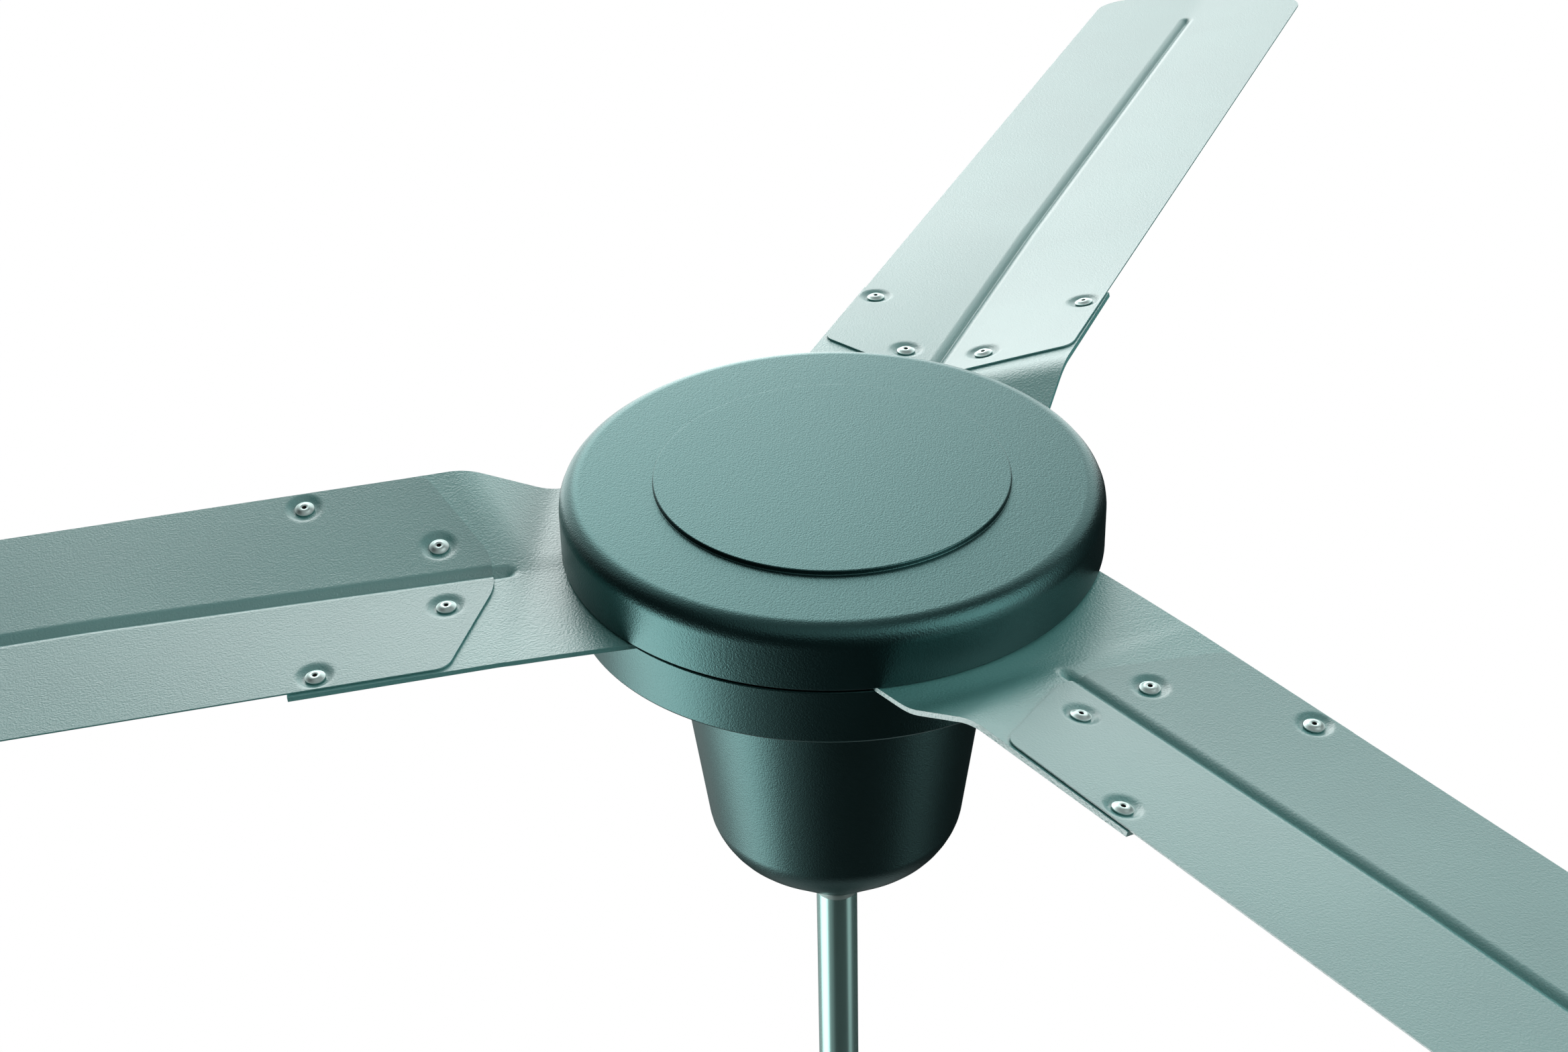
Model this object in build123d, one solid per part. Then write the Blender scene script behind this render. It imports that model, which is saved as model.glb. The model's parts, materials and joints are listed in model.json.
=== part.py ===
from build123d import *
import os
from math import asin, degrees, radians, tan

# Ceiling fan, as it hangs. Millimetres, +Z up, ceiling plane at z = 0, hub axis on Z.
# The seam between the bottom cover and the motor shell is the level that the lower parts
# are measured from. Every height called "above the seam" is added to seam_z.

# Hanging gear
plate_length = 120.0
plate_width = 56.0
plate_thickness = 4.0
plate_hole_spacing = 96.0
plate_hole_radius = 4.5
plate_corner_radius = 8.0
ear_width = 36.0
ear_thickness = 4.0
pin_drop = 45.0
hanger_bolt_radius = 5.0
eye_radius = 15.0
eye_length = 28.0
eye_wall = 2.5
eye_side_gap = 1.0
hanger_head_height = 6.5
hanger_nut_height = 8.0
hanger_bolt_tail = 7.0
split_pin_radius = 1.2
terminal_length = 16.0
terminal_width = 42.0
terminal_height = 13.0
terminal_pitch = 12.0

# Down rod and its coupling
rod_radius = 10.6
rod_wall = 2.0
rod_length = 472.0
cable_hole_radius = 5.0
cable_hole_drop = 25.0
coupler_wall = 3.4
coupler_grip = 37.0
coupler_shaft_grip = 30.0
coupler_web = 3.0
coupler_bearing_gap = 7.0
cross_bolt_radius = 3.0
cross_head_height = 4.0
cross_nut_height = 5.0
cross_bolt_tail = 7.0
cross_pin_radius = 0.8
hex_to_radius = 1.7

# Canopy cups
cup_mouth_radius = 81.0
cup_shoulder_radius = 63.0
cup_neck_radius = 20.0
cup_shoulder_height = 136.0
cup_height = 174.0
cup_wall = 2.5
cup_shoulder_fillet = 30.0
cup_neck_fillet = 5.0
cup_rim_fillet = 0.8
ceiling_gap = 6.0
cup_motor_gap = 2.5
collar_radius = 12.3
collar_rise = 13.0
collar_flange_radius = 17.0
collar_flange_height = 5.0
collar_screw_radius = 1.55

# Capacitor and terminals, inside the lower cup
capacitor_radius = 17.5
capacitor_length = 60.0
capacitor_stud_radius = 4.0
capacitor_stud_length = 12.0
capacitor_nut_height = 4.0
capacitor_side_gap = 5.5
component_plate_width = 34.0
component_plate_thickness = 2.0
motor_block_length = 14.0
motor_block_width = 30.0
motor_block_height = 12.0
motor_block_pitch = 9.0
motor_block_side_gap = 13.0

# Motor shell, above and below the seam
cover_radius = 130.0
cover_depth = 31.4
cover_wall = 2.8
cover_edge_radius = 10.0
medallion_radius = 85.0
medallion_rise = 2.3
shell_rim_radius = 127.6
shell_top_radius = 125.6
shell_height = 32.5
shell_wall = 2.5
shell_lip_radius = 1.6
seam_gap = 1.3
bowl_radius = 92.0
bowl_wall = 3.0
bowl_depth = 27.5
bowl_edge_radius = 4.0
flange_thickness = 4.0
flange_side_gap = 5.1
shell_screw_radius = 2.5
shell_screw_depth = 12.0
shell_screw_side_gap = 1.3
shell_screw_head_radius = 4.6
shell_screw_head_height = 3.0
pillar_radius = 6.0
post_radius = 5.0
post_neck_radius = 2.8
post_snap_height = 2.0
driver_slot = 1.2

# Bearings, shaft and motor core
shaft_seat_radius = 8.5
shaft_body_radius = 10.5
shaft_bore_radius = 4.5
shaft_tip = 2.0
wire_hole_radius = 2.5
bearing_outer_radius = 20.0
bearing_width = 12.0
bearing_ring_wall = 3.2
bearing_lip = 3.0
bearing_rise = 5.5
ball_radius = 3.3
ball_count = 7
cage_wall = 1.6
cage_rim = 1.2
boss_wall = 4.0
circlip_height = 1.2
circlip_reach = 2.5
stack_height = 16.0
stack_middle = 4.0
yoke_radius = 30.0
tooth_count = 16
tooth_width = 9.0
tooth_shoe = 5.0
slot_mouth_angle = 4.0
air_gap = 0.5
rotor_core_wall = 14.0
end_ring_height = 5.0
end_ring_step = 2.0
coil_head = 8.0
coil_wire_build = 1.5
coil_corner_radius = 5.0
coil_inner_radius = 38.0

# Arms and blades
blade_count = 3
first_blade_angle = 49.8
blade_tip_radius = 800.0
blade_width = 137.8
blade_tip_flare = 4.5
blade_thickness = 0.8
blade_pitch = 7.81
blade_rise = 3.44
blade_sideways = 2.7
root_station = 150.0
root_depth = 8.7
hub_station = 60.0
camber_hub = 10.9
camber_station = 350.0
camber_tip = 2.5
blade_root_inset = 98.5
root_flat_half = 12.0
root_chamfer_angle = 24.8
root_corner_radius = 9.0
tip_corner_radius = 28.0
groove_start_radius = 120.0
groove_width = 9.0
groove_depth = 2.8
groove_end_radius = 752.0
arm_thickness = 2.5
arm_lip = 1.5
arm_end_radius = 262.0
arm_corner_radius = 6.0
arm_bowl_gap = 5.0
arm_hub_face = 0.7
fold_start_radius = 130.0
fold_end_radius = 170.0
inner_rivet_inset = 75.0
inner_rivet_offset = 21.5
outer_rivet_inset = 13.0
outer_rivet_offset = 59.5
dimple_radius = 8.75
dimple_depth = 1.1
rivet_radius = 2.4
rivet_head_radius = 4.75
rivet_head_height = 1.7
rivet_seat_height = 0.45
rivet_bore_radius = 0.9
rivet_tail_radius = 3.5
rivet_tail_height = 3.2
arm_screw_radius = 3.0
arm_screw_head_radius = 5.5
arm_screw_head_height = 3.6
arm_screw_socket_radius = 2.4
arm_screw_angle = 24.0
notch_side_gap = 1.5
notch_web = 8.0

# Fits and clearances
paint_film = 0.1
press_gap = 0.02
running_gap = 0.05
slip_gap = 0.15
bolt_gap = 0.3

# Radii and heights that follow from the sizes above
sheet_space_height = blade_width / 2
flange_radius = shell_top_radius - shell_wall - flange_side_gap
arm_hollow_radius = bowl_radius + arm_bowl_gap
arm_screw_circle = (arm_hollow_radius + flange_radius) / 2
rotor_radius = bowl_radius - bowl_wall - press_gap
stack_radius = rotor_radius - rotor_core_wall - air_gap
blade_root_radius = arm_end_radius - blade_root_inset
inner_rivet_radius = arm_end_radius - inner_rivet_inset
outer_rivet_radius = arm_end_radius - outer_rivet_inset
pin_z = -pin_drop
rod_top_z = pin_z - eye_radius
rod_bottom_z = rod_top_z - rod_length
coupler_top_z = rod_bottom_z + coupler_grip
shaft_top_z = rod_bottom_z - coupler_web
coupler_bottom_z = shaft_top_z - coupler_shaft_grip
upper_bearing_z = coupler_bottom_z - coupler_bearing_gap
seam_z = upper_bearing_z - bearing_rise - shell_height
arm_stack = blade_thickness + paint_film
arm_half_width = blade_width / 2 + arm_lip
flange_z = seam_z + arm_hub_face + arm_thickness + paint_film
lower_bearing_z = seam_z - bowl_depth + bowl_wall
rise_slope = tan(radians(blade_rise))
pitch_slope = tan(radians(blade_pitch))


def ring(outer, inner, low, high):
    """A plain washer or tube between two heights."""
    height = high - low
    body = Cylinder(outer, height) - Cylinder(inner, height * 2)
    return Pos(0, 0, (low + high) / 2) * body


def disc(radius, low, high):
    return Pos(0, 0, (low + high) / 2) * Cylinder(radius, high - low)


def turned(points):
    """Solid of revolution about Z from (radius, height) corners."""
    face = make_face(Polyline(*[(r, 0, z) for r, z in points], close=True))
    return revolve(face, Axis.Z)


def drilled(body, places, radius, low, high):
    """The body with a round hole through it at each place."""
    for place in places:
        body -= place * disc(radius, low, high)
    return body


def around(shape, count, start=0.0):
    """Copies of a shape, evenly spaced about Z."""
    return [Rot(0, 0, start + k * 360 / count) * shape for k in range(count)]


def hexagon(flat_radius, height):
    return extrude(RegularPolygon(flat_radius, 6, major_radius=False), height)


# Ceiling bracket and its hinge bolt

def ceiling_bracket():
    plate = Pos(0, 0, -plate_thickness / 2) * Box(plate_length, plate_width, plate_thickness)
    plate = fillet(plate.edges().filter_by(Axis.Z), plate_corner_radius)
    ear_x = eye_length / 2 + eye_side_gap + ear_thickness / 2
    middle = -(pin_drop + plate_thickness) / 2
    ear = Pos(0, 0, middle) * Box(ear_thickness, ear_width, pin_drop - plate_thickness)
    ear += Pos(0, 0, pin_z) * Rot(0, 90, 0) * Cylinder(ear_width / 2, ear_thickness)
    body = plate + Pos(ear_x, 0, 0) * ear + Pos(-ear_x, 0, 0) * ear
    pin_hole = Cylinder(hanger_bolt_radius + slip_gap, plate_length)
    body -= Pos(0, 0, pin_z) * Rot(0, 90, 0) * pin_hole
    ceiling_holes = [Pos(side * plate_hole_spacing / 2, 0, 0) for side in (-1, 1)]
    return drilled(body, ceiling_holes, plate_hole_radius, -plate_thickness - 1, 1)


def hanger_bolt_parts():
    """Hinge bolt with its head on the -X ear, nut and split pin on the +X side."""
    ear_face = eye_length / 2 + eye_side_gap + ear_thickness
    end_x = ear_face + hanger_nut_height + hanger_bolt_tail
    across = hanger_bolt_radius * hex_to_radius
    lie = Pos(0, 0, pin_z) * Rot(0, 90, 0)
    shank = disc(hanger_bolt_radius, -ear_face, end_x)
    shank = chamfer(shank.edges().sort_by(Axis.Z)[-1], hanger_bolt_radius / 5)
    head = Pos(0, 0, -ear_face - hanger_head_height) * hexagon(across, hanger_head_height)
    pin_place = Pos(0, 0, ear_face + hanger_nut_height + hanger_bolt_tail / 2) * Rot(90, 0, 0)
    bolt = shank + head - pin_place * Cylinder(split_pin_radius + slip_gap, 4 * across)
    nut = Pos(0, 0, ear_face) * hexagon(across, hanger_nut_height)
    nut -= Cylinder(hanger_bolt_radius + press_gap, plate_length)
    leg_length = 2 * hanger_bolt_radius + 6 * split_pin_radius
    legs = Cylinder(split_pin_radius, leg_length)
    eye_middle = leg_length / 2 + split_pin_radius
    eye = Pos(0, 0, eye_middle) * Rot(0, 90, 0) * Torus(2 * split_pin_radius, split_pin_radius)
    return lie * bolt, lie * nut, lie * pin_place * (legs + eye)


def supply_terminal():
    """Three-way block screwed up under the plate, between the ear and the bolt hole."""
    x = plate_hole_spacing / 2 - 2 * plate_hole_radius - terminal_length / 2
    z = -plate_thickness - terminal_height / 2
    return Pos(x, 0, z) * terminal_block(terminal_length, terminal_width, terminal_height, terminal_pitch)


def terminal_block(length, width, height, pitch):
    """Moulded block with three wire ways along X and a screw well under each."""
    block = Box(length, width, height)
    block = fillet(block.edges().filter_by(Axis.Z), pitch / 10)
    for k in (-1, 0, 1):
        way = Pos(0, k * pitch, 0)
        block -= way * Rot(0, 90, 0) * Cylinder(pitch / 5, 2 * length)
        block -= way * disc(pitch / 6, -height, -height / 3)
    return block


# Hanger: eye, bush, rod, coupling and canopy cups

def hanger_eye():
    lie = Pos(0, 0, pin_z) * Rot(0, 90, 0)
    return lie * (Cylinder(eye_radius, eye_length) - Cylinder(eye_radius - eye_wall, eye_length * 2))


def rubber_bush():
    outer = eye_radius - eye_wall - press_gap
    body = Cylinder(outer, eye_length)
    body -= Cylinder(hanger_bolt_radius + running_gap, eye_length * 2)
    rims = body.edges().filter_by(GeomType.CIRCLE).group_by(SortBy.RADIUS)[-1]
    return Pos(0, 0, pin_z) * Rot(0, 90, 0) * chamfer(rims, eye_wall / 2)


def down_rod():
    top = rod_top_z + eye_radius / 2
    rod = ring(rod_radius, rod_radius - rod_wall, rod_bottom_z, top)
    rod -= Pos(0, 0, pin_z) * Rot(0, 90, 0) * Cylinder(eye_radius + press_gap, eye_length * 2)
    cable_z = rod_top_z - cable_hole_drop
    rod -= Pos(0, rod_radius, cable_z) * Rot(90, 0, 0) * Cylinder(cable_hole_radius, rod_radius)
    return rod - cross_hole(coupler_bolt_heights()[0])


def cross_hole(z):
    """Hole for a coupling bolt, along Y."""
    return Pos(0, 0, z) * Rot(90, 0, 0) * Cylinder(cross_bolt_radius + slip_gap, 6 * rod_radius)


def rod_coupler():
    outer = rod_radius + coupler_wall
    body = disc(outer, coupler_bottom_z, coupler_top_z)
    body -= disc(rod_radius + slip_gap, rod_bottom_z, coupler_top_z + 1)
    body -= disc(shaft_seat_radius + press_gap, coupler_bottom_z - 1, shaft_top_z)
    body -= disc(shaft_bore_radius, coupler_bottom_z, coupler_top_z)
    for z in coupler_bolt_heights():
        body -= cross_hole(z)
    rims = body.edges().filter_by(GeomType.CIRCLE).group_by(SortBy.RADIUS)[-1]
    return chamfer(rims, coupler_wall / 3)


def coupler_bolt_heights():
    return (rod_bottom_z + coupler_grip / 2, coupler_bottom_z + coupler_shaft_grip / 2)


def coupler_fasteners():
    """Cross bolts along Y, their nuts and split pins, one set for the rod and one for the shaft."""
    outer = rod_radius + coupler_wall
    across = cross_bolt_radius * hex_to_radius
    tail = outer + cross_nut_height + cross_bolt_tail
    pin_place = Pos(0, 0, tail - cross_bolt_radius) * Rot(0, 90, 0)
    shank = disc(cross_bolt_radius, -outer, tail)
    head = Pos(0, 0, -outer - cross_head_height) * hexagon(across, cross_head_height)
    bolt = shank + head - pin_place * Cylinder(cross_pin_radius + slip_gap, 4 * across)
    nut = Pos(0, 0, outer) * hexagon(across, cross_nut_height)
    nut -= disc(cross_bolt_radius + press_gap, 0, tail)
    pin = pin_place * Cylinder(cross_pin_radius, 4 * cross_bolt_radius)
    places = [Pos(0, 0, z) * Rot(-90, 0, 0) for z in coupler_bolt_heights()]
    return [[place * piece for place in places] for piece in (bolt, nut, pin)]


def canopy_cup():
    """Cup with its mouth at z = 0 and its neck upward."""
    neck_z = cup_height
    outline = [(cup_mouth_radius, 0), (cup_shoulder_radius, cup_shoulder_height)]
    outline += [(cup_neck_radius, neck_z)]
    outer = turned([(0, 0)] + outline + [(0, neck_z)])
    shoulder = outer.edges().filter_by(GeomType.CIRCLE).sort_by(Axis.Z)[1]
    outer = fillet(shoulder, cup_shoulder_fillet)
    neck = outer.edges().filter_by(GeomType.CIRCLE).sort_by(Axis.Z)[-1]
    outer = fillet(neck, cup_neck_fillet)
    mouth = outer.faces().sort_by(Axis.Z)[0]
    cup = offset(outer, amount=-cup_wall, openings=mouth)
    cup -= disc(collar_radius + bolt_gap, 0, neck_z + 1)
    rim = cup.edges().filter_by(GeomType.CIRCLE).group_by(Axis.Z)[0]
    return fillet(rim, cup_rim_fillet)


def lower_canopy_z():
    return seam_z + shell_height + cup_motor_gap


def lower_canopy():
    return Pos(0, 0, lower_canopy_z()) * canopy_cup()


def upper_canopy():
    return Pos(0, 0, -ceiling_gap) * Rot(180, 0, 0) * canopy_cup()


def canopy_collar():
    """Ferrule round the rod: flange below z = 0, neck above with its mouth tapered to the rod."""
    bore = rod_radius + press_gap
    lip = (collar_radius - bore) / 3
    body = turned([
        (bore, -collar_flange_height), (collar_flange_radius, -collar_flange_height),
        (collar_flange_radius, 0), (collar_radius, 0), (collar_radius, collar_rise - 6 * lip),
        (bore + lip, collar_rise), (bore, collar_rise),
    ])
    return body - collar_screw_rod(collar_screw_radius + running_gap, rod_radius, 2 * collar_flange_radius)


def collar_screw():
    """Grub screw that grips the rod."""
    return collar_screw_rod(collar_screw_radius, rod_radius + press_gap, collar_flange_radius)


def collar_screw_rod(radius, start, end):
    """Rod along X through the middle of the collar's flange."""
    return Pos(0, 0, -collar_flange_height / 2) * Rot(0, 90, 0) * disc(radius, start, end)


def collar_places():
    """The lower cup stands on its collar's flange, and so does the upper one."""
    lower_z = lower_canopy_z() + cup_height - cup_wall - paint_film
    upper_z = -ceiling_gap - cup_height - paint_film
    return Pos(0, 0, lower_z), Pos(0, 0, upper_z)


def component_plate():
    """Steel plate on top of the coupling that carries the capacitor and the terminals."""
    right = capacitor_x() + capacitor_radius
    left = motor_block_x() - motor_block_length
    plate = Box(right - left, component_plate_width, component_plate_thickness)
    plate = fillet(plate.edges().filter_by(Axis.Z), component_plate_width / 6)
    low = coupler_top_z + paint_film
    plate = Pos((right + left) / 2, 0, low + component_plate_thickness / 2) * plate
    plate = drilled(plate, [Pos(0, 0)], rod_radius + bolt_gap, low - 1, component_plate_top() + 1)
    stud_place = [Pos(capacitor_x(), 0)]
    return drilled(plate, stud_place, capacitor_stud_radius + slip_gap, low - 1, component_plate_top() + 1)


def component_plate_top():
    return coupler_top_z + component_plate_thickness + 2 * paint_film


def capacitor_x():
    return rod_radius + coupler_wall + capacitor_side_gap + capacitor_radius


def motor_block_x():
    return -(rod_radius + motor_block_side_gap + motor_block_length / 2)


def capacitor():
    """Run capacitor, hung can down by the stud on its top."""
    top = coupler_top_z
    can = disc(capacitor_radius, top - capacitor_length, top)
    can = fillet(can.edges().filter_by(GeomType.CIRCLE).sort_by(Axis.Z)[0], capacitor_radius / 6)
    return Pos(capacitor_x(), 0, 0) * (can + disc(capacitor_stud_radius, top, top + capacitor_stud_length))


def capacitor_nut():
    low = component_plate_top()
    nut = Pos(0, 0, low) * hexagon(capacitor_stud_radius * hex_to_radius, capacitor_nut_height)
    nut -= disc(capacitor_stud_radius + press_gap, low - 1, low + capacitor_nut_height + 1)
    return Pos(capacitor_x(), 0, 0) * nut


def motor_terminals():
    block = terminal_block(motor_block_length, motor_block_width, motor_block_height, motor_block_pitch)
    return Pos(motor_block_x(), 0, component_plate_top() + motor_block_height / 2) * Rot(180, 0, 0) * block


# Shaft, stator and bearings

def motor_shaft():
    """Fixed hollow shaft: bearing seats, thicker middle, wire hole above the stack."""
    shaft = disc(shaft_seat_radius, lower_bearing_z - shaft_tip, shaft_top_z)
    shaft += disc(shaft_body_radius, lower_bearing_z + bearing_width, upper_bearing_z - bearing_width)
    shaft -= disc(shaft_bore_radius, lower_bearing_z + bearing_width, shaft_top_z + 1)
    wire_z = stack_band()[1] + 2 * wire_hole_radius
    wire_hole = Cylinder(wire_hole_radius, shaft_body_radius)
    shaft -= Pos(shaft_body_radius, 0, wire_z) * Rot(0, 90, 0) * wire_hole
    return shaft - cross_hole(coupler_bolt_heights()[1])


def stack_band():
    low = seam_z + stack_middle - stack_height / 2
    return low, low + stack_height


def stator_stack():
    """Laminated core with T-shaped teeth, pressed on the shaft."""
    low, high = stack_band()
    core = disc(yoke_radius, low, high)
    root = yoke_radius - tooth_width / 4
    tooth = Pos((stack_radius + root) / 2, 0, 0) * Box(stack_radius - root, tooth_width, stack_height)
    shoe_ring = ring(stack_radius, stack_radius - tooth_shoe, -stack_height / 2, stack_height / 2)
    far = 2 * stack_radius
    reach = far * tan(radians((360 / tooth_count - slot_mouth_angle) / 2))
    wedge = make_face(Polyline((0, 0), (far, reach), (far, -reach), close=True))
    cutter = Pos(0, 0, -stack_height / 2) * extrude(wedge, stack_height)
    one = (tooth + (shoe_ring & cutter)) & Cylinder(stack_radius, stack_height)
    for tooth_copy in around(Pos(0, 0, (low + high) / 2) * one, tooth_count):
        core += tooth_copy
    return core - disc(shaft_body_radius + press_gap, low - 1, high + 1)


def stator_coils():
    """One closed coil on each tooth."""
    low, high = stack_band()
    outer_radius = stack_radius - tooth_shoe - 2 * coil_wire_build
    depth = outer_radius - coil_inner_radius
    width = tooth_width + 2 * slip_gap
    outline = (width + 2 * coil_wire_build, stack_height + 2 * coil_head)
    outer = extrude(RectangleRounded(*outline, coil_corner_radius), depth / 2, both=True)
    inner = extrude(Rectangle(width, stack_height + 2 * slip_gap), depth, both=True)
    coil = Plane.YZ.offset(coil_inner_radius + depth / 2) * (outer - inner)
    return around(Pos(0, 0, (low + high) / 2) * coil, tooth_count)


def bearing_rings(bottom):
    """Inner ring, outer ring and ball set of one deep-groove bearing."""
    middle = bottom + bearing_width / 2
    inner_outer = shaft_seat_radius + press_gap + bearing_ring_wall
    outer_inner = bearing_outer_radius - bearing_ring_wall
    pitch = (inner_outer + outer_inner) / 2
    race = Pos(0, 0, middle) * Torus(pitch, ball_radius + slip_gap)
    inner = ring(inner_outer, shaft_seat_radius + press_gap, bottom, bottom + bearing_width) - race
    outer = ring(bearing_outer_radius, outer_inner, bottom, bottom + bearing_width) - race
    ball = Pos(pitch, 0, middle) * Sphere(ball_radius)
    cage_half = ball_radius + slip_gap + cage_rim
    cage = ring(pitch + cage_wall / 2, pitch - cage_wall / 2, middle - cage_half, middle + cage_half)
    pocket = Pos(pitch, 0, middle) * Rot(0, 90, 0) * Cylinder(ball_radius + slip_gap, 4 * cage_wall)
    for copy in around(pocket, ball_count):
        cage -= copy
    return inner, outer, around(ball, ball_count), cage


def shaft_circlip():
    """Open spring ring on the shaft's tip, just under the lower bearing's inner ring."""
    high = lower_bearing_z - shaft_tip / 5
    low = high - circlip_height
    clip = ring(shaft_seat_radius + circlip_reach, shaft_seat_radius + press_gap, low, high)
    mouth = Box(shaft_seat_radius, 2 * circlip_reach, shaft_seat_radius)
    return clip - Pos(shaft_seat_radius, 0, low) * mouth


# Rotor: core, shells, cover

def rotor_core():
    """Laminated ring, pressed into both shells."""
    low, high = stack_band()
    return ring(rotor_radius, rotor_radius - rotor_core_wall, low, high)


def rotor_end_rings():
    low, high = stack_band()
    outer = rotor_radius - end_ring_step
    inner = rotor_radius - rotor_core_wall + end_ring_step
    bands = [(low - end_ring_height, low), (high, high + end_ring_height)]
    return [ring(outer, inner, *band) for band in bands]


def bearing_boss(low, high):
    return disc(bearing_outer_radius + boss_wall, low, high)


def screw_ring_places():
    """Places of the shell screws, one beside each edge of an arm, and of the cover posts between them."""
    step = 360 / blade_count
    arms = [first_blade_angle + k * step for k in range(blade_count)]
    aside = arm_half_width + blade_sideways + shell_screw_head_radius + shell_screw_side_gap
    spread = degrees(asin(aside / arm_screw_circle))
    screws = [arm + side * spread for arm in arms for side in (-1, 1)]
    return places_round(screws), places_round([arm + step / 2 for arm in arms])


def places_round(angles):
    """Places on the screw circle at the given angles."""
    return [Rot(0, 0, angle) * Pos(arm_screw_circle, 0, 0) for angle in angles]


def blade_turns():
    return [Rot(0, 0, first_blade_angle + k * 360 / blade_count) for k in range(blade_count)]


def motor_shell_upper():
    """Visible ring with its flat top, an inner wall round the core and the upper bearing boss."""
    top = seam_z + shell_height
    rim = seam_z + seam_gap
    inner_top = top - shell_wall
    wall_in = bowl_radius - bowl_wall
    skirt_in_low = shell_rim_radius - shell_wall
    skirt_in_high = shell_top_radius - shell_wall
    body = turned([
        (0, top), (shell_top_radius, top), (shell_rim_radius, rim),
        (skirt_in_low, rim), (skirt_in_high, inner_top), (0, inner_top),
    ])
    edge = body.edges().filter_by(GeomType.CIRCLE).group_by(Axis.Z)[-1][0]
    body = fillet(edge, shell_lip_radius)
    seat = flange_z + flange_thickness + paint_film
    body += ring(bowl_radius, wall_in, seat, inner_top)
    boss_low = upper_bearing_z - bearing_width - bearing_lip
    body += bearing_boss(boss_low, upper_bearing_z + bearing_lip)
    screws, _ = screw_ring_places()
    for place in screws:
        body += place * disc(pillar_radius, seat, inner_top)
    depth = shell_screw_depth + bolt_gap
    body = drilled(body, screws, shell_screw_radius, seat - 1, seat + depth)
    body -= disc(bearing_outer_radius + press_gap, boss_low - 1, upper_bearing_z)
    body -= disc(shaft_seat_radius + bearing_lip, boss_low, upper_bearing_z + 2 * bearing_lip)
    for turn in blade_turns():
        body -= turn * arm_notch(rim)
    return body


def arm_notch(rim):
    """Gap in the ring's rim that an arm comes out through."""
    top = flange_z + bolt_gap
    low = rim - shell_lip_radius
    width = 2 * (arm_half_width + notch_side_gap)
    block = Box(shell_rim_radius, width, top - low)
    block = Pos(shell_rim_radius, -blade_sideways, (top + low) / 2) * block
    return block - disc(bowl_radius + notch_web, low - 1, top + 1)


def motor_shell_lower():
    """End shield: flange that carries the arms, bowl and lower bearing boss."""
    low = seam_z - bowl_depth
    top = flange_z + flange_thickness
    wall_in = bowl_radius - bowl_wall
    body = turned([
        (0, low), (bowl_radius, low), (bowl_radius, flange_z), (flange_radius, flange_z),
        (flange_radius, top), (wall_in, top), (wall_in, low + bowl_wall), (0, low + bowl_wall),
    ])
    edge = body.edges().filter_by(GeomType.CIRCLE).group_by(Axis.Z)[0][0]
    body = fillet(edge, bowl_edge_radius)
    body += bearing_boss(low, lower_bearing_z + bearing_width)
    body -= disc(bearing_outer_radius + press_gap, lower_bearing_z, lower_bearing_z + bearing_width + 1)
    well_radius = shaft_seat_radius + circlip_reach + bearing_lip / 2
    body -= disc(well_radius, lower_bearing_z - shaft_tip - bolt_gap, lower_bearing_z + 1)
    arm_holes = [turn * spot for turn in blade_turns() for spot in arm_screw_places()]
    body = drilled(body, arm_holes, arm_screw_radius + press_gap, flange_z - 1, top + 1)
    screws, posts = screw_ring_places()
    body = drilled(body, screws, shell_screw_radius + slip_gap, flange_z - 1, top + 1)
    return drilled(body, posts, post_neck_radius + 2 * bolt_gap, flange_z - 1, top + 1)


def shell_screws():
    """Slotted screws up through the flange into the upper shell's pillars."""
    low = flange_z - shell_screw_head_height
    one = disc(shell_screw_radius - press_gap, flange_z, flange_z + flange_thickness + shell_screw_depth)
    one += disc(shell_screw_head_radius, low, flange_z)
    one -= Pos(0, 0, low) * Box(driver_slot, 3 * shell_screw_head_radius, shell_screw_head_height)
    return [place * one for place in screw_ring_places()[0]]


def bottom_cover():
    """Moulded cover with a rounded edge, a bare raised medallion and three snap posts inside."""
    face_z = seam_z - cover_depth
    outer = disc(cover_radius, face_z, seam_z)
    edge = outer.edges().filter_by(GeomType.CIRCLE).sort_by(Axis.Z)[0]
    outer = fillet(edge, cover_edge_radius)
    inner = disc(cover_radius - cover_wall, face_z + cover_wall, seam_z + 1)
    edge = inner.edges().filter_by(GeomType.CIRCLE).sort_by(Axis.Z)[0]
    inner = fillet(edge, cover_edge_radius - cover_wall)
    medallion = disc(medallion_radius, face_z - medallion_rise, face_z + cover_wall / 2)
    edge = medallion.edges().filter_by(GeomType.CIRCLE).sort_by(Axis.Z)[0]
    medallion = fillet(edge, medallion_rise / 4)
    body = outer - inner + medallion
    tip = flange_z + flange_thickness + post_snap_height
    post = disc(post_radius, face_z + cover_wall / 2, flange_z - paint_film)
    post += disc(post_neck_radius, flange_z - 1, tip)
    post -= Pos(0, 0, tip) * Box(driver_slot, 2 * post_radius, 2 * (tip - flange_z + post_snap_height))
    for place in screw_ring_places()[1]:
        body += place * post
    return body


# Blades and arms, along +X from the hub axis, before they are turned about Z

def chord_z(x):
    """Height of the middle of the blade's chord, on its lower face."""
    return seam_z - root_depth + rise_slope * (x - root_station)


def camber(x):
    if x >= camber_station:
        return camber_tip
    share = (x - hub_station) / (camber_station - hub_station)
    return camber_hub + share * (camber_tip - camber_hub)


def crease_point(x, lift=0.0):
    return Vector(x, -blade_sideways, chord_z(x) + camber(x) + lift)


def panel_point(x, across):
    """Point of the lower face at a distance across from the crease, trailing side positive."""
    half = blade_width / 2
    drop = across * pitch_slope
    fall = drop + camber(x) * abs(across) / half
    return Vector(x, -blade_sideways + across, chord_z(x) + camber(x) - fall)


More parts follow.
